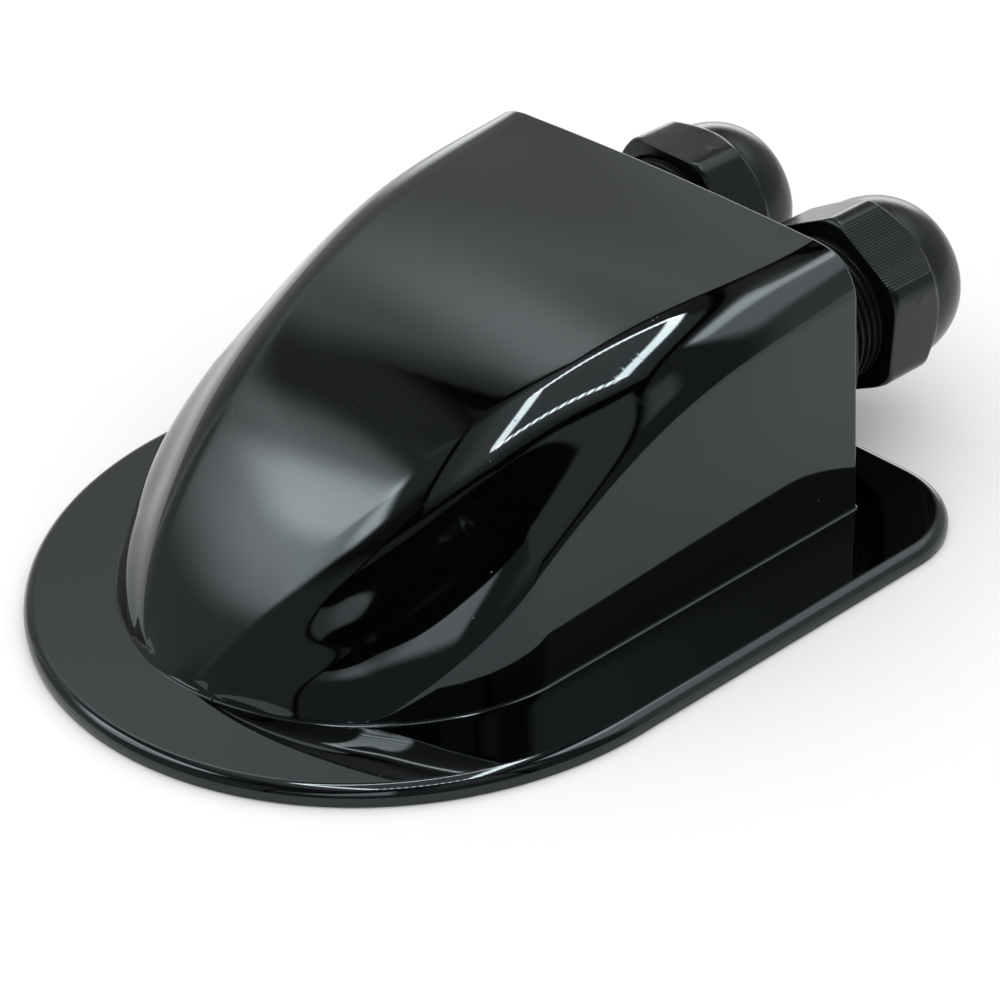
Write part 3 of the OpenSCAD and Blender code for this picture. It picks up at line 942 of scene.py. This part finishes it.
class CABLE_ENTRY_OT_small_parts(bpy.types.Operator):
    """Give the washers, lock nuts, cages and bushes their finishes"""

    bl_idname = "cable_entry.small_parts"
    bl_label = "Small parts' finishes"

    def execute(self, context):
        # The hidden pieces take the duller nylon, whose weak gloss is painted shade
        nylon = finish_named("shade_dulled_black_nylon", shade_dulled_nylon)
        rubber = finish_named("matt_black_rubber", sealing_rubber)
        gloss = finish_named("glossy_black_moulding", gloss_plastic)
        for name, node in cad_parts.items():
            finish = rubber if name.endswith(("washer", "bush")) else nylon
            if not node.material_slots:
                node.data.materials.append(finish)
            for held in node.material_slots:
                held.material = gloss if name == "housing" else finish
        return {"FINISHED"}


class CABLE_ENTRY_OT_studio(bpy.types.Operator):
    """Lay the pale table, set up the room's light and the light tent, and place the camera"""

    bl_idname = "cable_entry.studio"
    bl_label = "Studio"

    def execute(self, context):
        settings = context.scene.cable_entry_studio
        context.scene.view_settings.view_transform = "Standard"
        lay_table(finish_named("pale_table", table_top))
        light_studio(settings)
        set_camera(settings)
        return {"FINISHED"}


# The studio


def lay_table(material):
    """A round table top, far larger than the object, just below the flange's underside."""
    skin = Skin()
    swing = np.radians(np.arange(0, 360, 5))
    rings = []
    for r in (400.0, 1200.0, 3000.0, 9000.0):
        ring = np.stack([r * np.cos(swing), r * np.sin(swing), 0 * swing - 0.05], -1)
        rings.append(skin.add(ring, UP))
    skin.grid(np.stack(rings), close_columns=True)
    skin.fill(rings[0], [], 0, 1)
    link_mesh("table_top", np.concatenate(skin.points), skin.faces, material)


class Tent:
    """Directions in a light tent turned a little from the camera.

    over_right and over_away are where a ray meets the ceiling, in heights of the ceiling;
    side is its angle from the front, to the right positive; round the same from 0 to 360;
    rise its angle over the table.
    """

    # The ring of lamps on the ceiling: its corners, and the number of dashes from each to the next
    lamp_corners = ((-0.18, 0.25), (0.21, 0.64), (0.18, -0.35), (-0.16, -0.345))
    lamp_dashes = (22, 40, 14, 26)
    lamp_width, lamp_level = 0.045, 32.0
    # The camera's opening: its sides, and its sill and top as polynomials of the side
    opening_sides = (-47.5, 11)
    opening_sill = (50.8, 0.273, -0.00303, 0.000335, 8.08e-6)
    opening_top = (55.7, 0.0192, -0.0136, -0.000214, -1.88e-6)

    def __init__(self, tree, azimuth):
        ray = tree.nodes.new("ShaderNodeTexCoord").outputs["Generated"]
        turn = tree.nodes.new("ShaderNodeVectorRotate")
        turn.rotation_type = "Z_AXIS"
        turn.inputs["Angle"].default_value = -math.radians(azimuth)
        tree.links.new(ray, turn.inputs["Vector"])
        parts = tree.nodes.new("ShaderNodeSeparateXYZ")
        tree.links.new(turn.outputs["Vector"], parts.inputs["Vector"])
        right, away, self.up = (Level(tree, socket) for socket in parts.outputs)
        height = self.up.maths("MAXIMUM", 0.02)
        self.over_right = right.maths("DIVIDE", height)
        self.over_away = away.maths("DIVIDE", height)
        degree = 180 / math.pi
        self.side = right.maths("ARCTAN2", away * -1) * degree
        self.round = (right * -1).maths("ARCTAN2", away) * degree + 180
        self.rise = self.up.maths("ARCSINE") * degree

    def strip(self, start, end, dashes):
        """A dashed bright line on the ceiling between two places, by distance from the line."""
        span = np.subtract(end, start)
        reach = float(np.hypot(*span))
        along_x, along_y = (float(k) for k in span / reach)
        dx, dy = self.over_right - start[0], self.over_away - start[1]
        along = dx * along_x + dy * along_y
        off = dx * along_y - dy * along_x
        half, soft = self.lamp_width / 2, self.lamp_width * 0.3
        line = off.band(-half, half, soft) * along.band(0, reach, soft)
        dash = (along * (2 * math.pi * dashes / reach)).maths("SINE").step(-0.6, 0.5, 0.12, 1.0)
        return line * dash * self.up.step(0.3, 0.35) * self.lamp_level

    def ceiling(self):
        """Grey cloth, brighter about its middle, inside dark seams; four strips of lamps hang from it."""
        u, v = self.over_right, self.over_away
        seams = u.band(-0.44, 0.295, 0.02) * self.up.step(0.3, 0.4) * self.past_front().step(0.015, 0.035)
        seams = seams * self.past_back().fade(-0.05, -0.02)
        cloth = seams * (u.band(-0.32, 0.2, 0.16) * 0.4 + 0.42) * (v.band(-0.47, 0.5, 0.22) * 0.7 + 0.3)
        corners = self.lamp_corners
        for k, dashes in enumerate(self.lamp_dashes):
            cloth = cloth + self.strip(corners[k], corners[(k + 1) % 4], dashes)
        return cloth

    def past_front(self):
        """How far a place on the ceiling lies behind its front seam."""
        return self.over_away - (self.over_right * 0.55 - 0.6365).maths("MAXIMUM", -0.62)

    def past_back(self):
        """How far a place on the ceiling lies behind its bent rear seam."""
        right_part = self.over_right * 1.48 + 0.7
        return self.over_away - right_part.maths("MAXIMUM", self.over_right * -0.6 + 0.48)

    def left_wall(self):
        """Dim above, a bright band under it that ends on a slant, and grey below."""
        u, turn, rise = self.over_right, self.round, self.rise
        wall = turn.step(220, 226) * turn.fade(312, 314) * u.fade(-0.478, -0.47)
        slant = (turn + (rise - 41).maths("MINIMUM", 0) * 1.2).step(219, 237)
        end = (turn - (rise - 40).maths("MINIMUM", 10) * 1.2).fade(260, 274)
        edge = turn.band(231, 241, 5) * rise.step(36, 40) * 3.0
        high = u.fade(-0.7, -0.63) * rise.step(47, 53) * 3.5
        glow = (edge + high + 2.9) * rise.step(22, 38) * u.fade(-0.72, -0.63) * slant * end
        dim = rise.step(46, 52) * turn.step(262, 300, 1.0, 0.2) * 0.35
        low = turn.step(256, 268, 0.45, 0.3) * rise.fade(38, 50)
        return wall * (glow + dim + low)

    def back_wall(self):
        """Grey, brighter upwards, with a dark corner on its left."""
        turn, rise = self.round, self.rise
        share = (turn + (rise - 43).maths("MAXIMUM", 0) * 1.2).fade(206, 216)
        wall = rise.step(29, 38) * 0.35 + turn.band(180, 197, 14) * rise.step(34, 50) * 1.2 + 0.55
        corner = rise.step(39.5, 41.8, 1.0, 0.1) * rise.step(33, 38, 0.5, 1.0) * 0.55 + 0.17
        corner = corner * turn.fade(223, 229) * (share * -1 + 1)
        below = self.past_back().step(0.02, 0.05).maths("MAXIMUM", rise.fade(29, 30))
        below = below.maths("MAXIMUM", self.over_right.fade(-0.52, -0.42))
        return turn.step(162, 165) * (share * wall + corner) * below + self.backdrop()

    def backdrop(self):
        """Bright cloth low down behind the object; rims turned away from the camera see it."""
        return self.round.band(142, 180, 16) * self.rise.fade(10, 20) * 3.5

    def right_wall(self):
        """Bright at the top beside the ceiling, and dim below."""
        u, turn, rise = self.over_right, self.round, self.rise
        bright = u.band(0.37, 0.48, 0.08) * self.over_away.band(-0.2, 0.6, 0.1) * 4.5 + 2.2
        bright = bright * turn.step(56, 66) * turn.fade(130, 164)
        bright = bright * rise.step(32, 47, 0.2, 0.8) * u.step(0.345, 0.40)
        patch = self.side.band(30, 40, 6) * rise.band(42, 55, 6) * 0.6
        return (bright + patch + turn.band(29, 163, 3) * 0.18) * u.step(0.325, 0.335)

    def front_wall(self):
        """Dim, with a black opening for the camera and a bright patch under it."""
        side, rise = self.side, self.rise
        over_sill = rise - side.curve(*self.opening_sill) + side.step(-32, -18, 2.8, 0.0)
        over_top = rise - side.curve(*self.opening_top)
        opening = over_sill.step(-0.4, 0.4) * over_top.fade(-0.4, 0.4)
        opening = opening * side.band(*self.opening_sides, 1)
        bright = side.step(-42, -28, 0.15, 1.0) * side.fade(-13, -9)
        bright = bright * over_sill.fade(-1, 1) * rise.step(18, 27) * 2.1
        right_part = side.step(-2, 8) * rise.step(20, 40) * 0.3
        wall = self.past_front().fade(-0.06, -0.045) * side.band(-45, 26, 2)
        return wall * (bright + right_part + 0.2) * (opening * -1 + 1)


def light_studio(s):
    """A pale room lights the table evenly; reflections see a light tent with an opening in front."""
    world = bpy.data.worlds.new("light_tent")
    world.use_nodes = True
    world.cycles.sampling_method = "NONE"
    bpy.context.scene.world = world
    tree = world.node_tree
    tree.nodes.clear()
    tent = Tent(tree, s.azimuth + s.tent_turn)
    walls = tent.left_wall() + tent.back_wall() + tent.right_wall() + tent.front_wall()
    light = tent.ceiling() + walls + 0.008

    def white(strength):
        """A white background of a strength."""
        node = tree.nodes.new("ShaderNodeBackground")
        node.inputs["Color"].default_value = (1, 1, 1, 1)
        node.inputs["Strength"].default_value = strength
        return node

    room, reflected = white(1.2), white(1.0)
    tree.links.new(light.socket, reflected.inputs["Strength"])
    path = tree.nodes.new("ShaderNodeLightPath")
    chosen = tree.nodes.new("ShaderNodeMixShader")
    tree.links.new(path.outputs["Is Glossy Ray"], chosen.inputs["Fac"])
    tree.links.new(room.outputs["Background"], chosen.inputs[1])
    tree.links.new(reflected.outputs["Background"], chosen.inputs[2])
    out = tree.nodes.new("ShaderNodeOutputWorld")
    tree.links.new(chosen.outputs["Shader"], out.inputs["Surface"])


def set_camera(s):
    """The camera at the photograph's angle: back from its target along azimuth and elevation."""
    a, e, roll = math.radians(s.azimuth), math.radians(s.elevation), math.radians(s.roll)
    back = Vector((math.sin(a) * math.cos(e), -math.cos(a) * math.cos(e), math.sin(e)))
    side = (-back).cross(Vector((0, 0, 1))).normalized()
    up = side.cross(-back)
    right = side * math.cos(roll) + up * math.sin(roll)
    over = -side * math.sin(roll) + up * math.cos(roll)
    target = Vector((AIM[0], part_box("housing")[1].y + AIM[1], 0.0))
    data = bpy.data.cameras.new("camera")
    data.lens = s.lens
    data.sensor_width = 36.0
    data.shift_x = s.shift
    data.clip_start, data.clip_end = 0.01, 50.0
    camera = bpy.data.objects.new("camera", data)
    bpy.context.scene.collection.objects.link(camera)
    turn = Matrix((right, over, back)).transposed().to_4x4()
    camera.matrix_world = Matrix.Translation(target + back * s.distance) @ turn
    bpy.context.scene.camera = camera


class CABLE_ENTRY_PT_panel(bpy.types.Panel):
    """Sizes, finishes and pieces of the cable entry"""

    bl_idname = "CABLE_ENTRY_PT_panel"
    bl_label = "Cable Entry"
    bl_space_type = "VIEW_3D"
    bl_region_type = "UI"
    bl_category = "Cable Entry"

    def draw(self, context):
        for operator in PIECES:
            self.layout.operator(operator.bl_idname)
        for title, group in SETTINGS.items():
            box = self.layout.box()
            box.label(text=title)
            held = getattr(context.scene, group[0])
            for name in group[1].__annotations__:
                box.prop(held, name)


SETTINGS = {
    "Hood": ("cable_entry_hood", HoodSizes),
    "Glands": ("cable_entry_glands", GlandSizes),
    "Finishes": ("cable_entry_finishes", Finishes),
    "Studio": ("cable_entry_studio", StudioSizes),
}
PIECES = (
    CABLE_ENTRY_OT_hood,
    CABLE_ENTRY_OT_gland_bodies,
    CABLE_ENTRY_OT_dome_nuts,
    CABLE_ENTRY_OT_small_parts,
    CABLE_ENTRY_OT_studio,
)


def register():
    """Adds the properties, operators and panel."""
    for held, group in SETTINGS.values():
        bpy.utils.register_class(group)
        setattr(bpy.types.Scene, held, PointerProperty(type=group))
    for kind in PIECES:
        bpy.utils.register_class(kind)
    bpy.utils.register_class(CABLE_ENTRY_PT_panel)


def unregister():
    """Takes them away again."""
    bpy.utils.unregister_class(CABLE_ENTRY_PT_panel)
    for kind in reversed(PIECES):
        bpy.utils.unregister_class(kind)
    for held, group in SETTINGS.values():
        delattr(bpy.types.Scene, held)
        bpy.utils.unregister_class(group)


def main():
    """Registers the add-on and builds every piece in order."""
    register()
    for kind in PIECES:
        group, name = kind.bl_idname.split(".")
        getattr(getattr(bpy.ops, group), name)()


if __name__ == "__main__":
    main()
